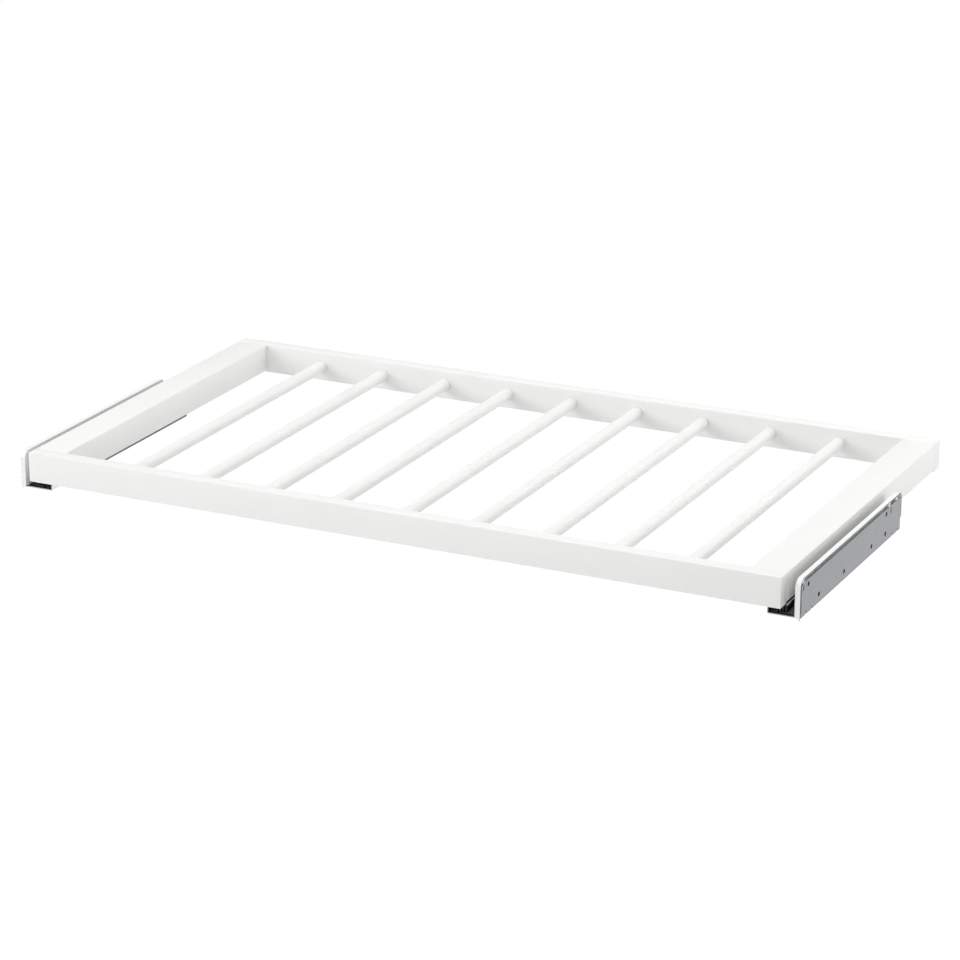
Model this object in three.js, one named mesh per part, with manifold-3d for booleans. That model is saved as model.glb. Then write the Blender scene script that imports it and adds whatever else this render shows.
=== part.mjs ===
// A pull-out trouser rack for a wardrobe. A white wooden tray frame with nine round rods rides on
// two telescopic ball runners. Each runner stands on the flange of a steel bracket that is screwed
// to the wardrobe's side, and a white plastic cover hides that bracket.
// Millimetres, +Z up. The front of the rack faces -Y. The origin lies midway between the two
// brackets and midway along the tray's depth, at the height of the covers' lowest tips.
import * as THREE from "three";
import { mergeVertices } from "three/addons/utils/BufferGeometryUtils.js";
import Module from "manifold-3d";

const wasm = await Module();
wasm.setup();

// Tray frame
const frameWidth = 928;
const frameDepth = 506;
const frameHeight = 35;
const endRailThickness = 17;
const sideRailWidth = 40;
const sideRailRise = 2;
const arris = 0.8;

// Rods
const rodCount = 9;
const rodRadius = 7.5;
const endRodGap = 78.5;
const rodAxisHeight = 17.9;
const rodInsert = 10;

// Corner dowels, two in each corner
const dowelRadius = 4;
const dowelEndRailDepth = 10;
const dowelSideRailDepth = 20;
const dowelSpacing = 20;
const dowelBevel = 1;

// Steel brackets, outside the frame
const wallGap = 18;
const bracketSheet = 1.2;
const bracketSetback = 15;
const bracketBelowFrame = 13.2;
const bracketHeight = 38.3;
const bracketLipHeight = 6.5;
const bracketLipGap = 1.8;
const bracketBendRadius = 0.3;
const bracketFrontCorner = 6;
const bracketRearCorner = 3;
const screwHoleRadius = 2.6;
const lowerHoleShares = [0.167, 0.416, 0.696, 0.842];
const lowerHoleRise = 10.4;
const upperHoleShares = [0.062, 0.847];
const upperHoleDrop = 5.1;
const clipSlotShares = [0.0165, 0.896];
const clipSlotWidth = 1.2;
const clipSlotHeight = 6.6;
const notchShares = [0.048, 0.1, 0.915, 0.966];
const notchRadius = 4;
const notchDepth = 1.1;

// White covers
const coverGap = 12.1;
const coverWall = 1.5;
const coverRim = 1.3;
const coverSetback = 10.4;
const coverBehindBracket = 3;
const coverAboveBracket = 4.8;
const coverFrontCorner = 10;
const coverRearCorner = 8;
const coverTipDrop = 14.6;
const coverTipSlant = 4.6;
const coverRearRise = 1.2;
const coverRearStep = 8;
const coverFlangeGap = 0.9;
const coverClipShares = [0.015, 0.883, 0.961];
const coverClipWidth = 4;
const coverClipInset = 0.5;

// Telescopic runners: a hat-shaped cabinet member whose outer foot is wide, a middle member over it
// and a tray member over both
const runnerInset = 8.8;
const runnerBehindBracketFront = 3.5;
const bracketBehindRunner = 6.5;
const memberLength = 296;
const memberSheet = 0.9;
const memberBendRadius = 0.6;
const cabinetMemberHalfWidth = 2.2;
const cabinetFootWidth = 5;
const cabinetFootGap = 0.6;
const middleLegGap = 1.2;
const trayLegGap = 0.5;

// Ball cages: a folded strip with a row of balls along each leg
const ballRadius = 0.9;
const ballClearance = 0.25;
const ballsInRow = 6;
const ballRowDrop = 6.9;
const cageSheet = 0.7;
const cageLength = 120;
const cageMargin = 0.8;
const cageEndMargin = 6;

// Fixing ears of the tray members and their screws
const earWidth = 13;
const earLength = 20;
const earShares = [0.11, 0.89];
const trayScrewRadius = 1.8;
const screwHeadRadius = 3.5;
const screwHeadHeight = 2;
const screwDepth = 14;
const screwTip = 3;

// Rivets that join the cabinet members to the brackets
const rivetRadius = 1.5;
const rivetHeadRadius = 2.2;
const rivetHeadHeight = 0.8;
const rivetClenchRadius = 1.9;
const rivetClenchHeight = 0.5;
const rivetShares = [0.12, 0.88];

// Rear bumpers on the brackets' flanges
const bumperLength = 4;
const bumperBelowFrame = 0.7;

// Front catches: a strip with a small tongue on the outer side of each tray member
const catchThickness = 1.2;
const catchDrop = 2.3;
const catchLength = 60;
const catchStripHeight = 0.9;
const tongueLength = 10;
const tongueHeight = 2.6;
const tongueCorner = 1.4;

// Clearances
const fit = 0.15;
const seatGap = 0.3;
const overrun = 5;

// Facets
const rodSides = 20;
const smallSides = 12;
const ballSides = 6;
const ballRings = 4;
const arcSegments = 4;

// Places that follow from the sizes
const baseZ = coverTipDrop;
const topZ = baseZ + frameHeight;
const frontY = -frameDepth / 2;
const backY = frameDepth / 2;
const frameX = frameWidth / 2;
const wallX = frameX + wallGap;
const coverX = frameX + coverGap;
const sideInnerX = frameX - sideRailWidth;
const innerFrontY = frontY + endRailThickness;
const innerBackY = backY - endRailThickness;
const bracketFrontY = frontY + bracketSetback;
const runnerX = frameX - runnerInset;
const runnerFrontY = bracketFrontY + runnerBehindBracketFront;
const runnerRearY = runnerFrontY + memberLength;
const bracketRearY = runnerRearY + bracketBehindRunner;
const bracketLength = bracketRearY - bracketFrontY;
const bracketBottomZ = baseZ - bracketBelowFrame;
const bracketTopZ = bracketBottomZ + bracketHeight;
const flangeTopZ = bracketBottomZ + bracketSheet;

const ballGap = 2 * (ballRadius + ballClearance);
const middleHalfWidth = cabinetMemberHalfWidth + ballGap + memberSheet;
const trayMemberHalfWidth = middleHalfWidth + ballGap + memberSheet;
const flangeInnerX = runnerX - trayMemberHalfWidth - bracketLipGap - bracketSheet;
const webGap = cageSheet + 2 * ballClearance;
const sideRailBottomZ = baseZ + sideRailRise;
const trayMemberTopZ = sideRailBottomZ - seatGap;
const middleTopZ = trayMemberTopZ - memberSheet - webGap;
const cabinetTopZ = middleTopZ - memberSheet - webGap;
const cabinetFootZ = flangeTopZ + seatGap;
const footInnerX = runnerX - cabinetMemberHalfWidth - cabinetFootWidth;
const footOuterX = coverX - cabinetFootGap;
const cageFrontY = runnerFrontY + (memberLength - cageLength) / 2;

const colours = {
  white: 0xf6f6f3, steel: 0xa9adb2, dark: 0x3a3c3b, zinc: 0x6d7073, wood: 0xd8b98a, sage: 0xa8b0a6,
};

function material(color, roughness, metalness) {
  return new THREE.MeshStandardMaterial({ color, roughness, metalness });
}

// A closed geometry as a solid that can be cut and joined.
function solidOf(geometry) {
  const bare = geometry.clone();
  bare.deleteAttribute("normal");
  bare.deleteAttribute("uv");
  const welded = mergeVertices(bare);
  const vertProperties = new Float32Array(welded.attributes.position.array);
  const triVerts = new Uint32Array(welded.index.array);
  return new wasm.Manifold(new wasm.Mesh({ numProp: 3, vertProperties, triVerts }));
}

function geometryOf(solid) {
  const { vertProperties, triVerts } = solid.getMesh();
  const geometry = new THREE.BufferGeometry();
  geometry.setAttribute("position", new THREE.BufferAttribute(vertProperties, 3));
  geometry.setIndex(new THREE.BufferAttribute(triVerts, 1));
  geometry.computeVertexNormals();
  return geometry;
}

function block([x0, x1], [y0, y1], [z0, z1]) {
  const box = new THREE.BoxGeometry(x1 - x0, y1 - y0, z1 - z0);
  box.translate((x0 + x1) / 2, (y0 + y1) / 2, (z0 + z1) / 2);
  return solidOf(box);
}

function cylinder(axis, radius, [start, end], [u, v], sides) {
  const round = new THREE.CylinderGeometry(radius, radius, end - start, sides);
  const middle = (start + end) / 2;
  if (axis === "x") round.rotateZ(Math.PI / 2).translate(middle, u, v);
  if (axis === "y") round.translate(u, middle, v);
  if (axis === "z") round.rotateX(Math.PI / 2).translate(u, v, middle);
  return solidOf(round);
}

function outline(points) {
  return new THREE.Shape(points.map(([u, v]) => new THREE.Vector2(u, v)));
}

// A shape drawn in X and Z, pulled along Y.
function prismAlongY(shape, y0, y1) {
  const settings = { depth: y1 - y0, bevelEnabled: false, curveSegments: arcSegments };
  const prism = new THREE.ExtrudeGeometry(shape, settings);
  prism.rotateX(Math.PI / 2).translate(0, y1, 0);
  return solidOf(prism);
}

// A shape drawn in Y and Z, pulled along X.
function prismAlongX(shape, x0, x1) {
  const settings = { depth: x1 - x0, bevelEnabled: false, curveSegments: arcSegments };
  const prism = new THREE.ExtrudeGeometry(shape, settings);
  const alongX = new THREE.Matrix4().makeBasis(
    new THREE.Vector3(0, 1, 0),
    new THREE.Vector3(0, 0, 1),
    new THREE.Vector3(1, 0, 0),
  );
  prism.applyMatrix4(alongX).translate(x0, 0, 0);
  return solidOf(prism);
}

// A turned piece: a profile of radius and height, with its axis upright at (x, y).
function turned(profile, x, y, sides) {
  const points = profile.map(([radius, height]) => new THREE.Vector2(radius, height));
  const lathe = new THREE.LatheGeometry(points, sides);
  return lathe.rotateX(Math.PI / 2).translate(x, y, 0);
}

function cutAll(solid, cutters) {
  return cutters.reduce((rest, cutter) => rest.subtract(cutter), solid);
}

// Pieces are modelled on the right; the left ones are their mirror images.
function mirrored(geometry) {
  const copy = geometry.clone();
  copy.scale(-1, 1, 1);
  const corners = copy.index.array;
  for (let i = 0; i < corners.length; i += 3) {
    [corners[i], corners[i + 1]] = [corners[i + 1], corners[i]];
  }
  return copy;
}

function same(geometry) {
  return geometry;
}

const sides = { left: mirrored, right: same };
const rack = new THREE.Group();

function addPiece(name, geometry, pieceMaterial) {
  const mesh = new THREE.Mesh(geometry, pieceMaterial);
  mesh.name = name;
  rack.add(mesh);
}

function addBothSides(name, geometry, makeMaterial) {
  for (const [side, place] of Object.entries(sides)) {
    addPiece(`${side}_${name}`, place(geometry), makeMaterial());
  }
}

const lacquer = () => material(colours.white, 0.45, 0);
const bareWood = () => material(colours.wood, 0.7, 0);
const coverPlastic = () => material(colours.white, 0.4, 0);
const bracketSteel = () => material(colours.steel, 0.35, 0.9);
const runnerSteel = () => material(colours.zinc, 0.3, 0.9);
const darkPlastic = () => material(colours.dark, 0.6, 0);
const catchPlastic = () => material(colours.sage, 0.5, 0);

// A rectangle in two axes with its four corners cut off, as a sanded arris.
function sandedRectangle([u0, u1], [v0, v1]) {
  return outline([
    [u0 + arris, v0], [u1 - arris, v0],
    [u1, v0 + arris], [u1, v1 - arris],
    [u1 - arris, v1], [u0 + arris, v1],
    [u0, v1 - arris], [u0, v0 + arris],
  ]);
}

// Tray frame
const rodZ = baseZ + rodAxisHeight;
const endRodX = sideInnerX - endRodGap;
const rodPitch = (2 * endRodX) / (rodCount - 1);
const rodXs = Array.from({ length: rodCount }, (_, i) => i * rodPitch - endRodX);
const dowelZ = (sideRailBottomZ + topZ) / 2;
const sideRailX = frameX - sideRailWidth / 2;
const dowelXs = [sideRailX - dowelSpacing / 2, sideRailX + dowelSpacing / 2];

function endRail(outerY, inward) {
  const innerY = outerY + inward * endRailThickness;
  const span = [Math.min(outerY, innerY), Math.max(outerY, innerY)];
  const rail = prismAlongX(sandedRectangle(span, [baseZ, topZ]), -frameX, frameX);
  const bore = (radius, depth, x, z) => {
    const bottomY = innerY - inward * depth;
    const mouthY = innerY + inward * overrun;
    const reach = [Math.min(bottomY, mouthY), Math.max(bottomY, mouthY)];
    const facets = radius === rodRadius ? rodSides : smallSides;
    return cylinder("y", radius + fit, reach, [x, z], facets);
  };
  const rodBores = rodXs.map((x) => bore(rodRadius, rodInsert + fit, x, rodZ));
  const dowelBores = [-1, 1].flatMap((hand) =>
    dowelXs.map((x) => bore(dowelRadius, dowelEndRailDepth + fit, hand * x, dowelZ)));
  return geometryOf(cutAll(rail, [...rodBores, ...dowelBores]));
}

addPiece("front_rail", endRail(frontY, 1), lacquer());
addPiece("back_rail", endRail(backY, -1), lacquer());

const earCentreX = runnerX - trayMemberHalfWidth - earWidth / 2;
const earYs = earShares.map((share) => runnerFrontY + share * memberLength);

function sideRail() {
  const rail = prismAlongY(
    sandedRectangle([sideInnerX, frameX], [sideRailBottomZ, topZ]), innerFrontY + fit, innerBackY - fit);
  const depth = dowelSideRailDepth + fit;
  const dowelBores = dowelXs.flatMap((x) => [
    cylinder("y", dowelRadius + fit, [innerFrontY - overrun, innerFrontY + depth], [x, dowelZ], smallSides),
    cylinder("y", dowelRadius + fit, [innerBackY - depth, innerBackY + overrun], [x, dowelZ], smallSides),
  ]);
  const pilots = earYs.map((y) => cylinder(
    "z", trayScrewRadius + fit,
    [sideRailBottomZ - overrun, sideRailBottomZ + screwDepth + fit], [earCentreX, y], smallSides));
  return geometryOf(cutAll(rail, [...dowelBores, ...pilots]));
}

addBothSides("side_rail", sideRail(), lacquer);

rodXs.forEach((x, i) => {
  const reach = [innerFrontY - rodInsert, innerBackY + rodInsert];
  const rod = geometryOf(cylinder("y", rodRadius, reach, [x, rodZ], rodSides));
  addPiece(`trouser_rod_${i + 1}`, rod, lacquer());
});

function dowel(x, jointY, outward) {
  const inEndRail = jointY + outward * dowelEndRailDepth;
  const inSideRail = jointY - outward * dowelSideRailDepth;
  const [y0, y1] = [Math.min(inEndRail, inSideRail), Math.max(inEndRail, inSideRail)];
  const tip = dowelRadius - dowelBevel;
  const profile = [[0, y0], [tip, y0], [dowelRadius, y0 + dowelBevel],
    [dowelRadius, y1 - dowelBevel], [tip, y1], [0, y1]];
  const points = profile.map(([radius, y]) => new THREE.Vector2(radius, y));
  return new THREE.LatheGeometry(points, smallSides).translate(x, 0, dowelZ);
}

for (const [corner, jointY, outward] of [["front", innerFrontY, -1], ["back", innerBackY, 1]]) {
  dowelXs.forEach((x, i) => addBothSides(`${corner}_dowel_${i + 1}`, dowel(x, jointY, outward), bareWood));
}

// Steel bracket: an upright plate against the wardrobe's side, a flange under the runner and a low lip
const holeY = (share) => bracketFrontY + share * bracketLength;
const plateReach = [wallX - bracketSheet - overrun, wallX + overrun];
const rivetX = runnerX + cabinetMemberHalfWidth + cabinetFootWidth / 2;
const rivetXs = [rivetX, 2 * runnerX - rivetX];
const rivetYs = rivetShares.map((share) => runnerFrontY + share * memberLength);

function bracketProfile() {
  const outerBend = bracketBendRadius + bracketSheet;
  const [bendX, lipBendX] = [wallX - outerBend, flangeInnerX + outerBend];
  const bendZ = bracketBottomZ + outerBend;
  const lipTopZ = bracketBottomZ + bracketLipHeight;
  const shape = new THREE.Shape();
  shape.moveTo(wallX, bracketTopZ);
  shape.lineTo(wallX, bendZ);
  shape.absarc(bendX, bendZ, outerBend, 0, -Math.PI / 2, true);
  shape.lineTo(lipBendX, bracketBottomZ);
  shape.absarc(lipBendX, bendZ, outerBend, -Math.PI / 2, -Math.PI, true);
  shape.lineTo(flangeInnerX, lipTopZ);
  shape.lineTo(flangeInnerX + bracketSheet, lipTopZ);
  shape.lineTo(flangeInnerX + bracketSheet, bendZ);
  shape.absarc(lipBendX, bendZ, bracketBendRadius, Math.PI, 1.5 * Math.PI, false);
  shape.lineTo(bendX, flangeTopZ);
  shape.absarc(bendX, bendZ, bracketBendRadius, -Math.PI / 2, 0, false);
  shape.lineTo(wallX - bracketSheet, bracketTopZ);
  return shape;
}

// The plate's outline seen from the side, with its two upper corners rounded.
function bracketSideOutline() {
  const shape = new THREE.Shape();
  shape.moveTo(bracketFrontY, bracketBottomZ);
  shape.lineTo(bracketRearY, bracketBottomZ);
  shape.lineTo(bracketRearY, bracketTopZ - bracketRearCorner);
  shape.absarc(
    bracketRearY - bracketRearCorner, bracketTopZ - bracketRearCorner,
    bracketRearCorner, 0, Math.PI / 2, false);
  shape.lineTo(bracketFrontY + bracketFrontCorner, bracketTopZ);
  shape.absarc(
    bracketFrontY + bracketFrontCorner, bracketTopZ - bracketFrontCorner,
    bracketFrontCorner, Math.PI / 2, Math.PI, false);
  return shape;
}

function bracket() {
  const folded = prismAlongY(bracketProfile(), bracketFrontY, bracketRearY);
  const trimmed = folded.intersect(
    prismAlongX(bracketSideOutline(), flangeInnerX - overrun, wallX + overrun));
  const screwHole = (share, z) => cylinder("x", screwHoleRadius, plateReach, [holeY(share), z], smallSides);
  const lower = lowerHoleShares.map((share) => screwHole(share, bracketBottomZ + lowerHoleRise));
  const upper = upperHoleShares.map((share) => screwHole(share, bracketTopZ - upperHoleDrop));
  const slots = clipSlotShares.map((share) => block(
    plateReach,
    [holeY(share) - clipSlotWidth / 2, holeY(share) + clipSlotWidth / 2],
    [bracketTopZ - upperHoleDrop - clipSlotHeight / 2, bracketTopZ - upperHoleDrop + clipSlotHeight / 2]));
  const notchZ = bracketBottomZ + notchDepth - notchRadius;
  const bendReach = [wallX - bracketSheet, wallX + overrun];
  const notches = notchShares.map((share) =>
    cylinder("x", notchRadius, bendReach, [holeY(share), notchZ], rodSides));
  const rivetHoles = rivetXs.flatMap((x) => rivetYs.map((y) => cylinder(
    "z", rivetRadius + fit, [bracketBottomZ - overrun, flangeTopZ + overrun], [x, y], smallSides)));
  return geometryOf(cutAll(trimmed, [...lower, ...upper, ...slots, ...notches, ...rivetHoles]));
}

addBothSides("wall_bracket", bracket(), bracketSteel);

// Cover: a wall on the tray's side of the bracket, with a rim round its front, top and back
const coverFrontY = frontY + coverSetback;
const coverRearY = bracketRearY + coverBehindBracket;
const coverTopZ = bracketTopZ + coverAboveBracket + coverRim;
const coverTipZ = baseZ - coverTipDrop;
const coverWallBottomZ = flangeTopZ + coverFlangeGap;
const coverRearZ = baseZ + coverRearRise;

function coverOutline(inset, footZ) {
  const [front, rear, top] = [coverFrontY + inset, coverRearY - inset, coverTopZ - inset];
  const [frontRadius, rearRadius] = [coverFrontCorner - inset, coverRearCorner - inset];
  const shape = new THREE.Shape();
  shape.moveTo(front, footZ);
  shape.lineTo(rear, footZ);
  shape.lineTo(rear, top - rearRadius);
  shape.absarc(rear - rearRadius, top - rearRadius, rearRadius, 0, Math.PI / 2, false);
  shape.lineTo(front + frontRadius, top);
  shape.absarc(front + frontRadius, top - frontRadius, frontRadius, Math.PI / 2, Math.PI, false);
  return shape;
}

function cover() {
  const hollow = coverOutline(coverRim, coverTipZ - overrun);
  const shell = prismAlongX(coverOutline(0, coverTipZ), coverX, wallX)
    .subtract(prismAlongX(hollow, coverX + coverWall, wallX + overrun));
  // The wall stops above the flange, and the back end stops higher still.
  const acrossX = [coverX - overrun, wallX + overrun];
  const belowWall = block(
    acrossX, [coverFrontY + coverRim, coverRearY + overrun], [coverTipZ - overrun, coverWallBottomZ]);
  const belowRear = block(
    acrossX, [coverRearY - coverRearStep, coverRearY + overrun], [coverTipZ - overrun, coverRearZ]);
  // The front rim's foot slopes down towards the wardrobe's side.
  const slant = prismAlongY(
    outline([
      [coverX - overrun, coverTipZ - overrun],
      [wallX, coverTipZ - overrun],
      [wallX, coverTipZ],
      [coverX, coverTipZ + coverTipSlant],
      [coverX - overrun, coverTipZ + coverTipSlant],
    ]),
    coverFrontY - overrun, coverFrontY + coverRim + overrun);
  // Small tabs under the top rim rest on the plate's upper edge.
  const tabs = coverClipShares.map((share) => block(
    [coverX + coverWall / 2, wallX - coverClipInset],
    [holeY(share) - coverClipWidth / 2, holeY(share) + coverClipWidth / 2],
    [bracketTopZ + seatGap, coverTopZ - coverRim / 2]));
  const cut = cutAll(shell, [belowWall, belowRear, slant]);
  return geometryOf(tabs.reduce((whole, tab) => whole.add(tab), cut));
}

addBothSides("bracket_cover", cover(), coverPlastic);

// Runner members: channels open at the bottom, one over the other
function channel(halfWidth, bottomZ, topOfWebZ, sheet, y0, y1) {
  const outer = memberBendRadius + sheet;
  const [left, right] = [runnerX - halfWidth, runnerX + halfWidth];
  const bendZ = topOfWebZ - outer;
  const shape = new THREE.Shape();
  shape.moveTo(left, bottomZ);
  shape.lineTo(left + sheet, bottomZ);
  shape.lineTo(left + sheet, bendZ);
  shape.absarc(left + outer, bendZ, memberBendRadius, Math.PI, Math.PI / 2, true);
  shape.lineTo(right - outer, topOfWebZ - sheet);
  shape.absarc(right - outer, bendZ, memberBendRadius, Math.PI / 2, 0, true);
  shape.lineTo(right - sheet, bottomZ);
  shape.lineTo(right, bottomZ);
  shape.lineTo(right, bendZ);
  shape.absarc(right - outer, bendZ, outer, 0, Math.PI / 2, false);
  shape.lineTo(left + outer, topOfWebZ);
  shape.absarc(left + outer, bendZ, outer, Math.PI / 2, Math.PI, false);
  return prismAlongY(shape, y0, y1);
}

function cabinetMember() {
  const [half, sheet] = [cabinetMemberHalfWidth, memberSheet];
  const hat = outline([
    [footInnerX, cabinetFootZ], [footInnerX, cabinetFootZ + sheet],
    [runnerX - half, cabinetFootZ + sheet], [runnerX - half, cabinetTopZ],
    [runnerX + half, cabinetTopZ], [runnerX + half, cabinetFootZ + sheet],
    [footOuterX, cabinetFootZ + sheet], [footOuterX, cabinetFootZ],
    [runnerX + half - sheet, cabinetFootZ], [runnerX + half - sheet, cabinetTopZ - sheet],
    [runnerX - half + sheet, cabinetTopZ - sheet], [runnerX - half + sheet, cabinetFootZ],
  ]);
  const rivetHoles = rivetXs.flatMap((x) => rivetYs.map((y) => cylinder(
    "z", rivetRadius + fit, [cabinetFootZ - overrun, cabinetFootZ + overrun], [x, y], smallSides)));
  return geometryOf(cutAll(prismAlongY(hat, runnerFrontY, runnerRearY), rivetHoles));
}

function middleMember() {
  const bottomZ = cabinetFootZ + memberSheet + middleLegGap;
  return geometryOf(channel(middleHalfWidth, bottomZ, middleTopZ, memberSheet, runnerFrontY, runnerRearY));
}

function trayMember() {
  const bottomZ = cabinetFootZ + memberSheet + trayLegGap;
  const hood = channel(
    trayMemberHalfWidth, bottomZ, trayMemberTopZ, memberSheet, runnerFrontY, runnerRearY);
  const innerX = runnerX - trayMemberHalfWidth;
  const ears = earYs.map((y) => block(
    [innerX - earWidth, innerX + 2 * (memberBendRadius + memberSheet)],
    [y - earLength / 2, y + earLength / 2],
    [trayMemberTopZ - memberSheet, trayMemberTopZ]));
  const holes = earYs.map((y) => cylinder(
    "z", trayScrewRadius + fit,
    [trayMemberTopZ - overrun, trayMemberTopZ + overrun], [earCentreX, y], smallSides));
  return geometryOf(cutAll(ears.reduce((whole, ear) => whole.add(ear), hood), holes));
}

addBothSides("cabinet_member", cabinetMember(), runnerSteel);
addBothSides("middle_member", middleMember(), runnerSteel);
addBothSides("tray_member", trayMember(), runnerSteel);

// Ball cages: one between the cabinet and middle members, one between the middle and tray members
function ballCage(innerMemberHalfWidth, innerMemberTopZ) {
  const rowOffset = innerMemberHalfWidth + ballGap / 2;
  const topOfCageZ = innerMemberTopZ + ballClearance + cageSheet;
  const rowZ = baseZ - ballRowDrop;
  const strip = channel(
    rowOffset + cageSheet / 2, rowZ - ballRadius - cageMargin, topOfCageZ,
    cageSheet, cageFrontY, cageFrontY + cageLength);
  const step = (cageLength - 2 * cageEndMargin) / (ballsInRow - 1);
  const balls = [];
  for (const side of [-1, 1]) {
    for (let i = 0; i < ballsInRow; i += 1) {
      const ball = new THREE.SphereGeometry(ballRadius, ballSides, ballRings);
      ball.translate(runnerX + side * rowOffset, cageFrontY + cageEndMargin + i * step, rowZ);
      balls.push(solidOf(ball));
    }
  }
  return geometryOf(balls.reduce((whole, ball) => whole.add(ball), strip));
}

addBothSides("inner_ball_cage", ballCage(cabinetMemberHalfWidth, cabinetTopZ), runnerSteel);
addBothSides("outer_ball_cage", ballCage(middleHalfWidth, middleTopZ), runnerSteel);

// Fasteners
function trayScrew(y) {
  const earBottomZ = trayMemberTopZ - memberSheet;
  const headTopZ = earBottomZ - fit;
  const tipZ = sideRailBottomZ + screwDepth;
  const profile = [
    [0, headTopZ - screwHeadHeight], [screwHeadRadius / 2, headTopZ - screwHeadHeight],
    [screwHeadRadius, headTopZ - screwHeadHeight / 2], [screwHeadRadius, headTopZ],
    [trayScrewRadius, headTopZ], [trayScrewRadius, tipZ - screwTip], [0, tipZ],
  ];
  return turned(profile, earCentreX, y, smallSides);
}

earYs.forEach((y, i) => addBothSides(`tray_screw_${i + 1}`, trayScrew(y), runnerSteel));

function rivet(x, y) {
  const headTopZ = bracketBottomZ - fit;
  const clenchZ = cabinetFootZ + memberSheet + fit;
  const profile = [
    [0, headTopZ - rivetHeadHeight], [rivetHeadRadius / 2, headTopZ - rivetHeadHeight],
    [rivetHeadRadius, headTopZ], [rivetRadius, headTopZ], [rivetRadius, clenchZ],
    [rivetClenchRadius, clenchZ], [rivetRadius, clenchZ + rivetClenchHeight],
    [0, clenchZ + rivetClenchHeight],
  ];
  return turned(profile, x, y, smallSides);
}

rivetYs.forEach((y, i) => {
  rivetXs.forEach((x, j) => {
    addBothSides(`runner_rivet_${i * rivetXs.length + j + 1}`, rivet(x, y), runnerSteel);
  });
});

// Rear bumper: a block on the flange that the tray member meets when the tray is in
function bumper() {
  const half = trayMemberHalfWidth - memberSheet / 2;
  return geometryOf(block(
    [runnerX - half, runnerX + half],
    [runnerRearY + seatGap, runnerRearY + seatGap + bumperLength],
    [flangeTopZ + seatGap, baseZ - bumperBelowFrame]));
}

addBothSides("rear_bumper", bumper(), darkPlastic);

// Front catch: a thin strip with a rounded tongue at its front end
function frontCatch() {
  const outerX = runnerX + trayMemberHalfWidth;
  const [front, rear] = [runnerFrontY, runnerFrontY + catchLength];
  const tongueRear = front + tongueLength;
  const top = sideRailBottomZ - catchDrop;
  const bottom = top - tongueHeight;
  const cornerZ = bottom + tongueCorner;
  const shape = new THREE.Shape();
  shape.moveTo(front, top);
  shape.lineTo(front, cornerZ);
  shape.absarc(front + tongueCorner, cornerZ, tongueCorner, Math.PI, 1.5 * Math.PI, false);
  shape.lineTo(tongueRear - tongueCorner, bottom);
  shape.absarc(tongueRear - tongueCorner, cornerZ, tongueCorner, 1.5 * Math.PI, 2 * Math.PI, false);
  shape.lineTo(tongueRear, top - catchStripHeight);
  shape.lineTo(rear, top - catchStripHeight);
  shape.lineTo(rear, top);
  return geometryOf(prismAlongX(shape, outerX + fit, outerX + fit + catchThickness));
}

addBothSides("front_catch", frontCatch(), catchPlastic);

export default rack;
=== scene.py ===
import math

import bmesh
import bpy
from mathutils import Matrix, Vector


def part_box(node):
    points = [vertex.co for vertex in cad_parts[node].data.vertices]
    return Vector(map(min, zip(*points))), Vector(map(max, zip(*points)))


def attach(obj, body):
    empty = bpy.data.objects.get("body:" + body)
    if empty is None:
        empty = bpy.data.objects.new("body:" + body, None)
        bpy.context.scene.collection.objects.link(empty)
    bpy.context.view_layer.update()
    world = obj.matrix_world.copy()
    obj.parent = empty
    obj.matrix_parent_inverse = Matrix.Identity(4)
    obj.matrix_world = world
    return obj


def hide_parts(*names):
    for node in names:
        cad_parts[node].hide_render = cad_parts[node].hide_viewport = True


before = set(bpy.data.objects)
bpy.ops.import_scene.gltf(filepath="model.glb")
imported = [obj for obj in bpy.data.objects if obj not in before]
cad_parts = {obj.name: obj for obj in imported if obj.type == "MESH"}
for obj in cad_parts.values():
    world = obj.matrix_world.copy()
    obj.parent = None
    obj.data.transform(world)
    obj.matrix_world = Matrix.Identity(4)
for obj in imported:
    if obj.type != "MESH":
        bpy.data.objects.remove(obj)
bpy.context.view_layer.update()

# A pull-out trouser rack: white lacquered tray frame and rods, ball runners coloured near-black as
# painted shade, zinc-plated brackets and white bracket covers. Lengths are metres, and MM turns
# millimetres into metres.
MM = 0.001

# Fine sizes that the frame doesn't hold
RAIL_EDGE = 0.5 * MM
ROD_EDGE = 1.0 * MM
SHEET_EDGE = 0.18 * MM
PLATE_EDGE = 0.3 * MM
PLASTIC_EDGE = 0.35 * MM
BUMPER_EDGE = 1 * MM
CATCH_EDGE = 0.25 * MM
BORE_GAP = 0.1 * MM
OVERRUN = 4 * MM

# How finely round forms are divided
HOLE_SIDES = 48
NOTCH_SIDES = 96
ROD_SIDES = 72
TURNED_SIDES = 40
ARC_STEPS = 14
BEND_STEPS = 6
EAR_STEPS = 8
HEAD_DEGREES = 10
DIMPLE_SEGMENTS = 24
DIMPLE_RINGS = 16
BALL_SUBDIVISIONS = 3

# Angles, in degrees, above which an edge is rounded or stays sharp
ROUNDED_ANGLE = 40
BEND_ANGLE = 50
SHARP_ANGLE = 35

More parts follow.
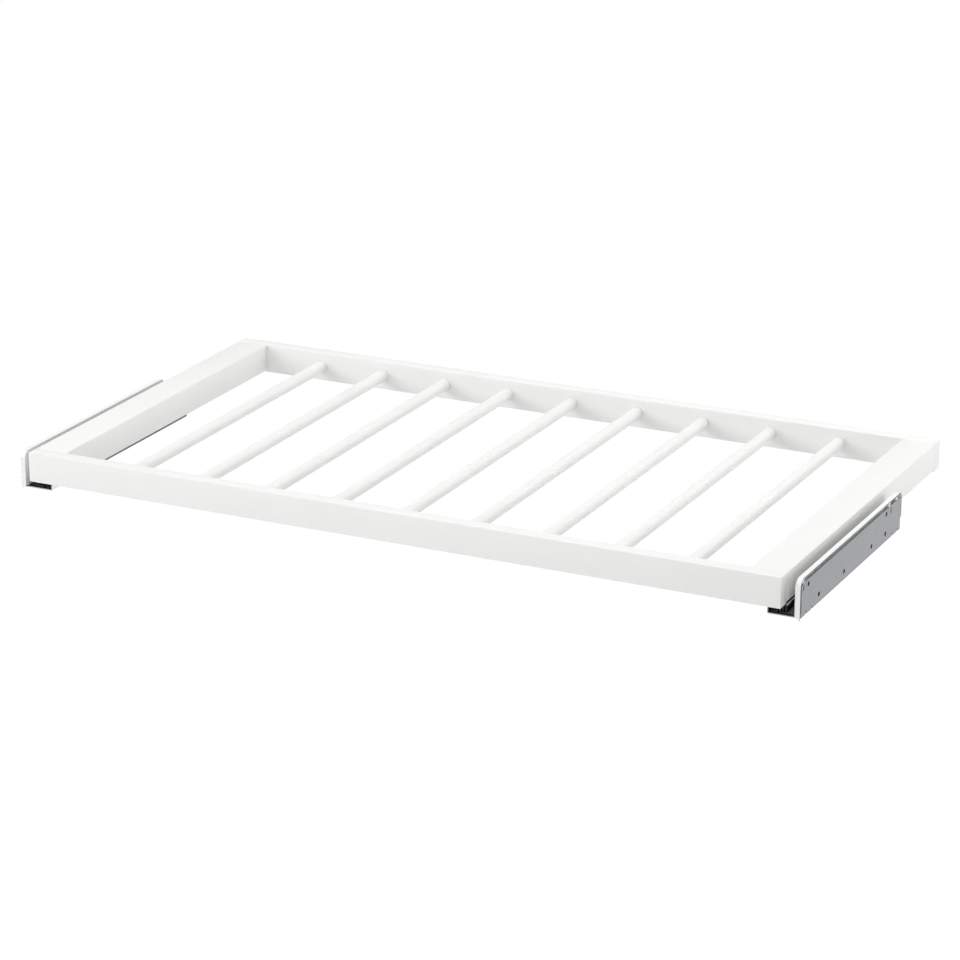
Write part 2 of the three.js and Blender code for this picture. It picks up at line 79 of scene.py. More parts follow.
# Wall bracket
BRACKET_SHEET = 1.2 * MM
BRACKET_BEND = 0.3 * MM
BRACKET_FRONT_CORNER = 6 * MM
BRACKET_REAR_CORNER = 3 * MM
BRACKET_LIP_HEIGHT = 6.5 * MM
LIP_END_LENGTH = 15 * MM
SCREW_HOLE_RADIUS = 2.6 * MM
LOWER_HOLE_SHARES = (0.167, 0.416, 0.696, 0.842)
LOWER_HOLE_RISE = 10.4 * MM
UPPER_HOLE_SHARES = (0.062, 0.847)
UPPER_HOLE_DROP = 5.1 * MM
CLIP_SLOT_SHARES = (0.0165, 0.896)
CLIP_SLOT_SIZE = (2.2 * MM, 6.6 * MM)
NOTCH_SHARES = (0.0455, 0.1, 0.915, 0.97)
NOTCH_RADIUS = 4 * MM
NOTCH_DEPTH = 1.8 * MM
NOTCH_REACH = 3.2 * MM
DIMPLE_SHARES = (0.043, 0.098, 0.916, 0.971)
DIMPLE_RISE = 3.9 * MM
DIMPLE_RADIUS = 1.3 * MM
DIMPLE_DEPTH = 0.45 * MM
DIMPLE_MARGIN = 0.025 * MM

# Bracket cover
COVER_WALL = 1.5 * MM
COVER_RIM = 1.3 * MM
COVER_FRONT_CORNER = 10 * MM
COVER_REAR_CORNER = 8 * MM
COVER_TIP_SLANT = 4.6 * MM
COVER_WALL_BOTTOM = 3.5 * MM
COVER_REAR_BOTTOM = 15.8 * MM
COVER_REAR_STEP = 8 * MM
TAB_SHARES = (0.015, 0.883, 0.961)
TAB_WIDTH = 4 * MM
TAB_INSET = 0.5 * MM
TAB_GAP = 0.3 * MM

# Runner members and ball cages
MEMBER_SHEET = 0.9 * MM
MEMBER_BEND = 0.6 * MM
CAGE_SHEET = 0.7 * MM
BALL_RADIUS = 0.9 * MM
BALLS_IN_ROW = 6
BALL_ROW_Z = 7.7 * MM
CAGE_END_MARGIN = 6 * MM
EAR_WIDTH = 13 * MM
EAR_SHARES = (0.11, 0.89)
EAR_LENGTH = 20 * MM
EAR_CORNER = 4 * MM
CABINET_HALF_WIDTH = 2.2 * MM

# Screws and rivets
SCREW_RADIUS = 1.8 * MM
SCREW_HEAD_HEIGHT = 2 * MM
SCREW_CROWN_SHARE = 0.6
SCREW_TIP_LENGTH = 3 * MM
RECESS_ARM = 1.9 * MM
RECESS_HALF_WIDTH = 0.4 * MM
RECESS_DEPTH = 1 * MM
RIVET_RADIUS = 1.5 * MM
RIVET_HEAD_HEIGHT = 0.8 * MM
CLENCH_RADIUS = 1.9 * MM
CLENCH_HEIGHT = 0.5 * MM
CLENCH_EASE = 0.15 * MM
CLENCH_EASE_SHARES = (0.8, 0.4)

# Front catch
STRIP_HEIGHT = 0.9 * MM
TONGUE_LENGTH = 10 * MM
TONGUE_CORNER = 1.4 * MM

# How squarely a face has to look along an axis to count as facing it
FACING = 0.7
LEANING = 0.5
BARELY = 0.12

# Camera, solved from the photograph's edges
CAMERA_AZIMUTH = math.radians(25.99)
CAMERA_ELEVATION = math.radians(19.19)
CAMERA_DISTANCE = 4.0827
CAMERA_TARGET = Vector((1.54 * MM, -21.16 * MM, 14.6 * MM))
CAMERA_LENS = 132.43
CAMERA_SENSOR = 36
CAMERA_CLIP_END = 50

# Studio: the floor, and the light that the room itself gives
FLOOR_Z = -0.55
FLOOR_HALF_WIDTH = 9
FLOOR_COLOUR = (0.85, 0.85, 0.85, 1)
FLOOR_ROUGHNESS = 0.8
FLOOR_GLOW = 1.05
FLOOR_GLOW_SHARE = 0.93
WHITE = (1, 1, 1, 1)
ROOM_LIGHT_COLOUR = (0.98, 0.99, 1, 1)
ROOM_LIGHT = 0.2

MIDDLE = (0, 0, 0)

# Lamps: name, place, target, size and power in watts
LAMPS = (
    ("overhead", (0, 0, 2.4), MIDDLE, (3.0, 2.4), 46),
    ("front_left", (-2.2, -2.6, 1.2), MIDDLE, (2.0, 1.6), 48),
    ("back_right", (1.6, 1.8, 1.6), MIDDLE, (2.0, 1.6), 18),
    ("right", (2.6, 0.2, 0.9), MIDDLE, (1.6, 1.2), 7.5),
    ("front", (0.3, -3.0, 0.4), MIDDLE, (2.0, 1.2), 10.5),
    ("low_right", (1.6, -1.8, -0.1), (0.4, 0, 0), (1.0, 0.8), 3),
    ("right_near", (1.3, 0.5, 0.15), (0.464, 0.18, 0.03), (0.5, 0.3), 1.8),
)


def link(name, mesh):
    """Puts a mesh into the scene as a new object."""
    piece = bpy.data.objects.new(name, mesh)
    bpy.context.scene.collection.objects.link(piece)
    return piece


def from_bmesh(name, bm):
    """Turns an edited mesh into an object, with its faces pointing out."""
    bmesh.ops.recalc_face_normals(bm, faces=bm.faces)
    mesh = bpy.data.meshes.new(name)
    bm.to_mesh(mesh)
    bm.free()
    return link(name, mesh)


def settle(piece):
    """Replaces a piece's mesh by what its modifiers make of it."""
    graph = bpy.context.evaluated_depsgraph_get()
    graph.update()
    made = bpy.data.meshes.new_from_object(piece.evaluated_get(graph))
    piece.modifiers.clear()
    piece.data = made
    return piece


def prism(name, outline, axis, start, end):
    """A closed outline pulled along an axis. Its two coordinates are those of the other axes."""
    bm = bmesh.new()
    place = {
        "x": lambda u, v, w: (w, u, v),
        "y": lambda u, v, w: (u, w, v),
        "z": lambda u, v, w: (u, v, w),
    }[axis]
    rings = [[bm.verts.new(place(u, v, w)) for u, v in outline] for w in (start, end)]
    bm.faces.new(rings[0])
    bm.faces.new(rings[1])
    count = len(outline)
    for i in range(count):
        j = (i + 1) % count
        bm.faces.new((rings[0][i], rings[0][j], rings[1][j], rings[1][i]))
    return from_bmesh(name, bm)


def circle(u, v, radius, steps):
    angles = [i * (2 * math.pi / steps) for i in range(steps)]
    return [(u + radius * math.cos(a), v + radius * math.sin(a)) for a in angles]


def arc(u, v, radius, start, end, steps=ARC_STEPS):
    """Points from one angle to another, in degrees, both ends included."""
    angles = [math.radians(start + (end - start) * i / steps) for i in range(steps + 1)]
    return [(u + radius * math.cos(a), v + radius * math.sin(a)) for a in angles]


def rectangle(u0, u1, v0, v1):
    return [(u0, v0), (u1, v0), (u1, v1), (u0, v1)]


def combine(piece, others, operation):
    """Cuts or joins solids with the exact boolean, then removes the ones that were used."""
    for other in others:
        step = piece.modifiers.new("combine", "BOOLEAN")
        step.operation = operation
        step.solver = "EXACT"
        step.object = other
    settle(piece)
    for other in others:
        bpy.data.objects.remove(other)
    return piece


def soften(piece, width, segments=3, angle=ROUNDED_ANGLE):
    """Rounds the sharp edges and shades the rest smooth."""
    bevel = piece.modifiers.new("edges", "BEVEL")
    bevel.width = width
    bevel.segments = segments
    bevel.limit_method = "ANGLE"
    bevel.angle_limit = math.radians(angle)
    bevel.use_clamp_overlap = True
    bevel.harden_normals = False
    settle(piece)
    return shade(piece)


def shade(piece):
    """Shades a piece smooth, except across its sharp edges."""
    mesh = piece.data
    mesh.polygons.foreach_set("use_smooth", [True] * len(mesh.polygons))
    mesh.set_sharp_from_angle(angle=math.radians(SHARP_ANGLE))
    mesh.update()
    return piece


def flatten_large_faces(piece):
    """Keeps the shading of large flat faces flat where a narrow rounded edge meets them."""
    weighted = piece.modifiers.new("weighted", "WEIGHTED_NORMAL")
    weighted.mode = "FACE_AREA"
    weighted.weight = 100
    weighted.keep_sharp = True
    return settle(piece)


def split_at_y(piece, y):
    """Divides the faces of a piece along a plane across Y, and leaves its shape as it is."""
    bm = bmesh.new()
    bm.from_mesh(piece.data)
    parts = bm.verts[:] + bm.edges[:] + bm.faces[:]
    bmesh.ops.bisect_plane(bm, geom=parts, plane_co=(0, y, 0), plane_no=(0, 1, 0))
    bm.to_mesh(piece.data)
    bm.free()
    return piece


def mirror_x(piece, name):
    """A mirror image across the middle of the rack, as a new object."""
    mesh = piece.data.copy()
    mesh.transform(Matrix.Scale(-1, 4, (1, 0, 0)))
    mesh.flip_normals()
    return shade(link(name, mesh))


def turned(name, profile, x, y, steps=TURNED_SIDES):
    """A piece turned about an upright axis at (x, y). Its profile gives radius and height."""
    bm = bmesh.new()
    rings = []
    for radius, z in profile:
        if radius == 0:
            rings.append([bm.verts.new((x, y, z))])
        else:
            rings.append([bm.verts.new((x + u, y + v, z)) for u, v in circle(0, 0, radius, steps)])
    for low, high in zip(rings, rings[1:]):
        for i in range(steps):
            j = (i + 1) % steps
            if len(low) == 1:
                bm.faces.new((low[0], high[j], high[i]))
            elif len(high) == 1:
                bm.faces.new((low[i], low[j], high[0]))
            else:
                bm.faces.new((low[i], low[j], high[j], high[i]))
    return from_bmesh(name, bm)


# Materials


class Nodes:
    """A short way to lay out a material's nodes."""

    def __init__(self, name):
        self.material = bpy.data.materials.new(name)
        self.material.use_nodes = True
        self.tree = self.material.node_tree
        self.shader = self.tree.nodes["Principled BSDF"]

    def add(self, kind, inputs=None, **settings):
        node = self.tree.nodes.new(kind)
        for key, value in settings.items():
            setattr(node, key, value)
        for key, value in (inputs or {}).items():
            if isinstance(value, bpy.types.NodeSocket):
                self.tree.links.new(value, node.inputs[key])
            else:
                node.inputs[key].default_value = value
        return node

    def place(self, scale):
        """Coordinates on the object, in metres, stretched by a scale for each axis."""
        source = self.add("ShaderNodeTexCoord").outputs["Object"]
        return self.add("ShaderNodeMapping", {"Vector": source, "Scale": scale}).outputs["Vector"]

    def noise(self, scale, size=1.0, detail=4.0, rough=0.55):
        """Noise whose grains measure 1/size along each axis of the stretched coordinates."""
        inputs = {"Vector": self.place(scale), "Scale": size, "Detail": detail, "Roughness": rough}
        return self.add("ShaderNodeTexNoise", inputs).outputs["Fac"]

    def spread(self, value, low, high, start=0.3, end=0.7):
        inputs = {"Value": value, "From Min": start, "From Max": end, "To Min": low, "To Max": high}
        return self.add("ShaderNodeMapRange", inputs).outputs["Result"]

    def colours(self, value, stops):
        ramp = self.add("ShaderNodeValToRGB", {"Fac": value})
        marks = ramp.color_ramp.elements
        while len(marks) < len(stops):
            marks.new(0.5)
        for mark, (place, colour) in zip(marks, stops):
            mark.position = place
            mark.color = (*colour, 1)
        return ramp.outputs["Color"]

    def bump(self, height, distance, strength=1.0, under=None):
        inputs = {"Height": height, "Distance": distance, "Strength": strength}
        if under is not None:
            inputs["Normal"] = under
        return self.add("ShaderNodeBump", inputs).outputs["Normal"]

    def finish(self, colour=None, roughness=None, normal=None, metallic=0.0, specular=0.5):
        self.shader.inputs["Metallic"].default_value = metallic
        self.shader.inputs["Specular IOR Level"].default_value = specular
        for key, value in (("Base Color", colour), ("Roughness", roughness), ("Normal", normal)):
            if value is not None:
                self.tree.links.new(value, self.shader.inputs[key])
        return self.material


def lacquer(name, grain):
    """White satin lacquer over solid wood. grain is the stretch that lays its grain one way."""
    n = Nodes(name)
    patch = n.noise((1, 1, 1), size=9, detail=3)
    pores = n.noise(grain, size=1, detail=6, rough=0.6)
    peel = n.noise((1, 1, 1), size=700, detail=2)
    colour = n.colours(patch, [(0.3, (0.875, 0.878, 0.857)), (0.7, (0.895, 0.898, 0.878))])
    roughness = n.spread(n.noise((1, 1, 1), size=60, detail=5), 0.38, 0.5)
    normal = n.bump(pores, 0.05 * MM, 0.5, under=n.bump(peel, 0.02 * MM, 0.6))
    return n.finish(colour, roughness, normal, specular=0.4)


def moulded(name, dark, light, rough):
    """Moulded plastic with a fine spark-eroded grain."""
    n = Nodes(name)
    flow = n.noise((1, 0.4, 1), size=30, detail=3)
    grain = n.noise((1, 1, 1), size=2600, detail=2)
    colour = n.colours(flow, [(0.3, dark), (0.7, light)])
    roughness = n.spread(n.noise((1, 1, 1), size=220), rough - 0.05, rough + 0.07)
    return n.finish(colour, roughness, n.bump(grain, 0.015 * MM, 0.7), specular=0.4)


def zinc(name, dark, light, rough, metallic=1.0, edge=1.0, relief=1.0):
    """Plated sheet steel: a cloudy coating over fine rolling lines.

    edge tints what it mirrors at a flat angle, and relief scales its bump.
    """
    n = Nodes(name)
    cloud = n.noise((1, 1, 1), size=45, detail=6, rough=0.65)
    lines = n.noise((900, 12, 900), detail=3)
    speck = n.noise((1, 1, 1), size=1500, detail=2)
    colour = n.colours(cloud, [(0.3, dark), (0.7, light)])
    roughness = n.spread(lines, rough - 0.06, rough + 0.08)
    normal = n.bump(lines, 0.008 * MM, 0.5 * relief, under=n.bump(speck, 0.006 * MM, 0.5 * relief))
    n.shader.inputs["Specular Tint"].default_value = (edge, edge, edge, 1)
    return n.finish(colour, roughness, normal, metallic=metallic)


def beech(name):
    n = Nodes(name)
    rings = n.noise((700, 20, 700), detail=5)
    colour = n.colours(rings, [(0.3, (0.52, 0.35, 0.19)), (0.7, (0.66, 0.48, 0.29))])
    return n.finish(colour, n.spread(rings, 0.6, 0.75), n.bump(rings, 0.05 * MM))


def rubber(name):
    n = Nodes(name)
    grain = n.noise((1, 1, 1), size=1200, detail=4)
    colour = n.colours(grain, [(0.3, (0.022, 0.022, 0.023)), (0.7, (0.04, 0.04, 0.041))])
    return n.finish(colour, n.spread(grain, 0.62, 0.78), n.bump(grain, 0.03 * MM))


ALONG_X = (5, 190, 190)
ALONG_Y = (190, 5, 190)
lacquer_x = lacquer("lacquer_grain_along_x", ALONG_X)
lacquer_y = lacquer("lacquer_grain_along_y", ALONG_Y)
cover_white = moulded("cover_white", (0.88, 0.885, 0.87), (0.90, 0.905, 0.89), 0.36)
catch_green = moulded("catch_grey_green", (0.36, 0.40, 0.35), (0.42, 0.46, 0.41), 0.45)
# Painted shade: the cover's tray-facing side is a little greyer than its white, for the shade in
# the gap beside the tray
cover_painted_shade = moulded("cover_side_painted_shade", (0.79, 0.794, 0.78), (0.82, 0.824, 0.81), 0.4)
cover_grey = moulded("cover_edge_grey", (0.12, 0.122, 0.12), (0.145, 0.147, 0.145), 0.5)
bracket_zinc = zinc(
    "bracket_zinc", (0.36, 0.368, 0.385), (0.385, 0.393, 0.41), 0.62,
    metallic=0.35, edge=0.35, relief=0.6)
# Painted light: a pale zinc for the lip's front end, where light falls in from the front
lip_end_painted_light = zinc("lip_end_painted_light", (0.76, 0.765, 0.775), (0.80, 0.805, 0.815), 0.45, relief=0.6)
# Painted shade: a dark zinc for the lip's side towards the middle of the rack
lip_side_painted_shade = zinc("lip_side_painted_shade", (0.20, 0.204, 0.21), (0.24, 0.244, 0.25), 0.6, edge=0.35)
# Painted shade: a near-black zinc for the plate's lower fold and its dimples
bend_and_dimple_painted_shade = zinc("bend_and_dimple_painted_shade", (0.08, 0.083, 0.088), (0.10, 0.104, 0.11), 0.6, edge=0.35)
# Painted shade: a near-black zinc for the walls of the plate's holes and slots
hole_wall_painted_shade = zinc("hole_wall_painted_shade", (0.02, 0.02, 0.021), (0.035, 0.036, 0.037), 0.6, edge=0.3)
# Painted shade: a near-black steel for the runner members and the flange under them
runner_painted_shade = zinc("runner_steel_painted_shade", (0.07, 0.071, 0.072), (0.09, 0.092, 0.093), 0.5, edge=0.35)
fastener_zinc = zinc("fastener_zinc", (0.40, 0.41, 0.43), (0.47, 0.48, 0.50), 0.34)
dowel_beech = beech("dowel_beech")
bumper_rubber = rubber("bumper_rubber")


def add_piece(piece, node, body, material):
    """Gives a finished piece its material, hides the node that it stands for and hangs the piece
    under its body.
    """
    piece.data.materials.clear()
    piece.data.materials.append(material)
    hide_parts(node)
    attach(piece, body)
    return piece


def paint(piece, material, chosen):
    """Gives the chosen faces of a piece one more material."""
    piece.data.materials.append(material)
    index = len(piece.data.materials) - 1
    for face in piece.data.polygons:
        if chosen(face):
            face.material_index = index


# Tray frame


def rail(node, material, bores):
    """A wooden rail with eased edges. bores are round cutters along Y for the rods."""
    low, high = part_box(node)
    body = prism(f"{node}_wood", rectangle(low.y, high.y, low.z, high.z), "x", low.x, high.x)
    soften(body, RAIL_EDGE)
    if bores:
        combine(body, bores, "DIFFERENCE")
        shade(body)
    return add_piece(body, node, "tray", material)


rod_names = sorted(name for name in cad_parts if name.startswith("trouser_rod_"))
rods = {name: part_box(name) for name in rod_names}


def rod_bores(inner_y, outward):
    """Cutters for the blind holes that hold the rods' ends in a rail."""
    cutters = []
    for low, high in rods.values():
        middle = (low + high) / 2
        radius = (high.z - low.z) / 2 + BORE_GAP
        end_y = (high.y if outward > 0 else low.y) + outward * BORE_GAP
        start, end = sorted((inner_y - outward * OVERRUN, end_y))
        bore = circle(middle.x, middle.z, radius, ROD_SIDES)
        cutters.append(prism("bore", bore, "y", start, end))
    return cutters


rail("front_rail", lacquer_x, rod_bores(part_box("front_rail")[1].y, -1))
rail("back_rail", lacquer_x, rod_bores(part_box("back_rail")[0].y, 1))
rail("left_side_rail", lacquer_y, [])
rail("right_side_rail", lacquer_y, [])

for node, (low, high) in rods.items():
    middle = (low + high) / 2
    radius = (high.z - low.z) / 2
    rod = prism(f"{node}_wood", circle(middle.x, middle.z, radius, ROD_SIDES), "y", low.y, high.y)
    soften(rod, ROD_EDGE)
    add_piece(rod, node, "tray", lacquer_y)

for node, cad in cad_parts.items():
    if "_dowel_" in node:
        cad.data.materials.clear()
        cad.data.materials.append(dowel_beech)

# Wall brackets


def place_share(low, high, share):
    return low + share * (high - low)


def bracket_profile(low, high):
    """The folded sheet in X and Z: upright plate, flange and low inner lip."""
    outer = BRACKET_BEND + BRACKET_SHEET
    bend_x, lip_bend_x, bend_z = high.x - outer, low.x + outer, low.z + outer
    lip_top = low.z + BRACKET_LIP_HEIGHT
    points = [(high.x, high.z)]
    points += arc(bend_x, bend_z, outer, 0, -90)
    points += arc(lip_bend_x, bend_z, outer, -90, -180)
    points += [(low.x, lip_top), (low.x + BRACKET_SHEET, lip_top)]
    points += arc(lip_bend_x, bend_z, BRACKET_BEND, 180, 270)
    points += arc(bend_x, bend_z, BRACKET_BEND, -90, 0)
    points += [(high.x - BRACKET_SHEET, high.z)]
    return points


def bracket_outline(low, high):
    """The plate in Y and Z, with its two upper corners rounded."""
    front, rear = BRACKET_FRONT_CORNER, BRACKET_REAR_CORNER
    points = [(low.y, low.z - OVERRUN), (high.y, low.z - OVERRUN)]
    points += arc(high.y - rear, high.z - rear, rear, 0, 90)
    points += arc(low.y + front, high.z - front, front, 90, 180)
    return points


def plate_openings(low, high):
    """The middles and half sizes, in Y and Z, of the plate's round screw holes and clip slots."""
    lower_z = low.z + LOWER_HOLE_RISE
    upper_z = high.z - UPPER_HOLE_DROP
    rows = [(LOWER_HOLE_SHARES, lower_z), (UPPER_HOLE_SHARES, upper_z)]
    holes = [
        (place_share(low.y, high.y, share), z, SCREW_HOLE_RADIUS, SCREW_HOLE_RADIUS)
        for shares, z in rows for share in shares
    ]
    half_y, half_z = (size / 2 for size in CLIP_SLOT_SIZE)
    slots = [
        (place_share(low.y, high.y, share), upper_z, half_y, half_z) for share in CLIP_SLOT_SHARES
    ]
    return holes, slots


bracket_low, bracket_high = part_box("right_wall_bracket")
plate_holes, plate_slots = plate_openings(bracket_low, bracket_high)


def bracket_share_y(share):
    """The place along the bracket that lies at a share of its length, from the front."""
    return place_share(bracket_low.y, bracket_high.y, share)


def bracket_piece():
    low, high = bracket_low, bracket_high
    sheet = prism("right_wall_bracket_sheet", bracket_profile(low, high), "y", low.y, high.y)
    keep = prism("keep", bracket_outline(low, high), "x", low.x - OVERRUN, high.x + OVERRUN)
    combine(sheet, [keep], "INTERSECT")
    across = (high.x - BRACKET_SHEET - OVERRUN, high.x + OVERRUN)
    cutters = []
    for y, z, radius, _ in plate_holes:
        cutters.append(prism("hole", circle(y, z, radius, HOLE_SIDES), "x", *across))
    for y, z, half_y, half_z in plate_slots:
        slot = rectangle(y - half_y, y + half_y, z - half_z, z + half_z)
        cutters.append(prism("slot", slot, "x", *across))
    notch_z = low.z + NOTCH_DEPTH - NOTCH_RADIUS
    for share in NOTCH_SHARES:
        notch = circle(bracket_share_y(share), notch_z, NOTCH_RADIUS, NOTCH_SIDES)
        cutters.append(prism("notch", notch, "x", high.x - NOTCH_REACH, high.x + OVERRUN))
    dimple_x, dimple_z = high.x + DIMPLE_RADIUS - DIMPLE_DEPTH, low.z + DIMPLE_RISE
    for share in DIMPLE_SHARES:
        place = Matrix.Translation((dimple_x, bracket_share_y(share), dimple_z))
        bm = bmesh.new()
        bmesh.ops.create_uvsphere(
            bm, u_segments=DIMPLE_SEGMENTS, v_segments=DIMPLE_RINGS,
            radius=DIMPLE_RADIUS, matrix=place)
        cutters.append(from_bmesh("dimple", bm))
    combine(sheet, cutters, "DIFFERENCE")
    return split_at_y(soften(sheet, PLATE_EDGE, segments=2), low.y + LIP_END_LENGTH)


def in_plate_opening(face):
    """Whether a face is on the punched wall of a hole or slot in the plate."""
    return abs(face.normal.x) < FACING and any(
        abs(face.center.y - y) < half_y + BORE_GAP and abs(face.center.z - z) < half_z + BORE_GAP
        for y, z, half_y, half_z in plate_holes + plate_slots)


def on_runner_seat(face):
    """Whether a face is on the flange's top or front end, or on the lip's side to the runner."""
    x, z = abs(face.center.x), face.center.z
    outward = face.normal.x if face.center.x > 0 else -face.normal.x
    in_flange = z < bracket_low.z + BRACKET_SHEET + BORE_GAP and x < bracket_high.x - BRACKET_SHEET
    on_lip = x < bracket_low.x + BRACKET_SHEET + BORE_GAP and outward > FACING
    return (in_flange and (face.normal.z > LEANING or face.normal.y < -LEANING)) or on_lip


def on_lip_back(face):
    """Whether a face is on the lip's side that faces the middle of the rack."""
    return abs(face.center.x) < bracket_low.x + BRACKET_SHEET / 2


def on_lip_end(face):
    """Whether a face is on that side of the lip, at its front end, which is painted light."""
    return on_lip_back(face) and face.center.y < bracket_low.y + LIP_END_LENGTH


def on_plate_bend(face):
    """Whether a face is on the rounded fold under the plate, outside the flange."""
    fold_x = bracket_high.x - BRACKET_SHEET - BRACKET_BEND
    return face.normal.z < -BARELY and abs(face.center.x) > fold_x


def in_dimple(face):
    """Whether a face is in one of the small round marks above the plate's fold."""
    if abs(face.center.x) >= bracket_high.x - DIMPLE_MARGIN:
        return False
    up = face.center.z - (bracket_low.z + DIMPLE_RISE)
    return any(
        math.hypot(face.center.y - bracket_share_y(share), up) < DIMPLE_RADIUS
        for share in DIMPLE_SHARES)


right_bracket = bracket_piece()
left_bracket = mirror_x(right_bracket, "left_wall_bracket_sheet")
for side, bracket in (("right", right_bracket), ("left", left_bracket)):
    flatten_large_faces(bracket)
    add_piece(bracket, f"{side}_wall_bracket", "brackets", bracket_zinc)
    # Painted shade in the holes and slots
    paint(bracket, hole_wall_painted_shade, in_plate_opening)
    # Painted shade on the flange's top, its front end and the lip's side to the runner
    paint(bracket, runner_painted_shade, on_runner_seat)
    # Painted shade on the plate's lower fold and in its dimples
    paint(bracket, bend_and_dimple_painted_shade, lambda face: on_plate_bend(face) or in_dimple(face))
    # Painted shade on the lip's side towards the middle of the rack
    paint(bracket, lip_side_painted_shade, on_lip_back)
    # Painted light on that side at the lip's front end
    paint(bracket, lip_end_painted_light, on_lip_end)

# Bracket covers


def cover_outline(low, high, inset, foot_z):
    """The cover in Y and Z, smaller by inset all round, reaching down to foot_z."""
    front, rear = COVER_FRONT_CORNER, COVER_REAR_CORNER
    points = [(low.y + inset, foot_z), (high.y - inset, foot_z)]
    points += arc(high.y - rear, high.z - rear, rear - inset, 0, 90)
    points += arc(low.y + front, high.z - front, front - inset, 90, 180)
    return points


cover_low, cover_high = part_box("right_bracket_cover")


def cover_piece():
    low, high = cover_low, cover_high
    under = low.z - OVERRUN
    across = (low.x - OVERRUN, high.x + OVERRUN)
    outer = cover_outline(low, high, 0, low.z)
    shell = prism("right_bracket_cover_shell", outer, "x", low.x, high.x)
    inner = cover_outline(low, high, COVER_RIM, under)
    hollow = prism("hollow", inner, "x", low.x + COVER_WALL, high.x + OVERRUN)
    wall_foot = rectangle(low.y + COVER_RIM, high.y + OVERRUN, under, COVER_WALL_BOTTOM)
    rear_foot = rectangle(high.y - COVER_REAR_STEP, high.y + OVERRUN, under, COVER_REAR_BOTTOM)
    tip_foot = [
        (across[0], under), (high.x, under), (high.x, low.z),
        (low.x, low.z + COVER_TIP_SLANT), (across[0], low.z + COVER_TIP_SLANT),
    ]
    below_wall = prism("below_wall", wall_foot, "x", *across)
    below_rear = prism("below_rear", rear_foot, "x", *across)
    slant = prism("slant", tip_foot, "y", low.y - OVERRUN, low.y + COVER_RIM + OVERRUN)
    combine(shell, [hollow, below_wall, below_rear, slant], "DIFFERENCE")
    bottom, top = bracket_high.z + TAB_GAP, high.z - COVER_RIM / 2
    tabs = []
    for share in TAB_SHARES:
        y = bracket_share_y(share)
        tab = rectangle(y - TAB_WIDTH / 2, y + TAB_WIDTH / 2, bottom, top)
        tabs.append(prism("tab", tab, "x", low.x + COVER_WALL / 2, high.x - TAB_INSET))
    combine(shell, tabs, "UNION")
    return soften(shell, PLASTIC_EDGE)


def on_cover_edge(face):
    """Whether a face is on the cover's thin edge, which lies against the wardrobe's side."""
    return abs(face.normal.x) > FACING and abs(face.center.x) > cover_high.x - BORE_GAP


def on_cover_wall(face):
    """Whether a face is on the cover's side that faces the tray."""
    return abs(face.normal.x) > FACING and abs(face.center.x) < cover_low.x + BORE_GAP


right_cover = cover_piece()
left_cover = mirror_x(right_cover, "left_bracket_cover_shell")
for side, cover in (("right", right_cover), ("left", left_cover)):
    flatten_large_faces(cover)
    add_piece(cover, f"{side}_bracket_cover", "brackets", cover_white)
    paint(cover, cover_grey, on_cover_edge)
    # Painted shade on the cover's side that faces the tray
    paint(cover, cover_painted_shade, on_cover_wall)

# Runner members


def channel_outline(left, right, bottom, top, sheet):
    """A channel open at the bottom, in X and Z, with rounded bends."""
    outer = MEMBER_BEND + sheet
    bend_z = top - outer
    points = [(left, bottom), (left + sheet, bottom)]
    points += arc(left + outer, bend_z, MEMBER_BEND, 180, 90, steps=BEND_STEPS)
    points += arc(right - outer, bend_z, MEMBER_BEND, 90, 0, steps=BEND_STEPS)
    points += [(right - sheet, bottom), (right, bottom)]
    points += arc(right - outer, bend_z, outer, 0, 90, steps=BEND_STEPS)
    points += arc(left + outer, bend_z, outer, 90, 180, steps=BEND_STEPS)
    return points


def middle_member():
    low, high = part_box("right_middle_member")
    outline = channel_outline(low.x, high.x, low.z, high.z, MEMBER_SHEET)
    member = prism("right_middle_member_profile", outline, "y", low.y, high.y)
    return soften(member, SHEET_EDGE, segments=2, angle=BEND_ANGLE)


def tray_member():
    low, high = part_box("right_tray_member")
    hood_left = low.x + EAR_WIDTH
    outline = channel_outline(hood_left, high.x, low.z, high.z, MEMBER_SHEET)
    member = prism("right_tray_member_profile", outline, "y", low.y, high.y)
    ears = []
    holes = []
    for share in EAR_SHARES:
        y = place_share(low.y, high.y, share)
        front, rear = y - EAR_LENGTH / 2, y + EAR_LENGTH / 2
        corner = EAR_CORNER
        ear = [(hood_left + 2 * MEMBER_SHEET, front), (hood_left + 2 * MEMBER_SHEET, rear)]
        ear += arc(low.x + corner, rear - corner, corner, 90, 180, steps=EAR_STEPS)
        ear += arc(low.x + corner, front + corner, corner, 180, 270, steps=EAR_STEPS)
        ears.append(prism("ear", ear, "z", high.z - MEMBER_SHEET, high.z))
        hole = circle(low.x + EAR_WIDTH / 2, y, SCREW_RADIUS + BORE_GAP, HOLE_SIDES)
        holes.append(prism("hole", hole, "z", high.z - OVERRUN, high.z + OVERRUN))
    combine(member, ears, "UNION")
    combine(member, holes, "DIFFERENCE")
    return soften(member, SHEET_EDGE, segments=2, angle=BEND_ANGLE)


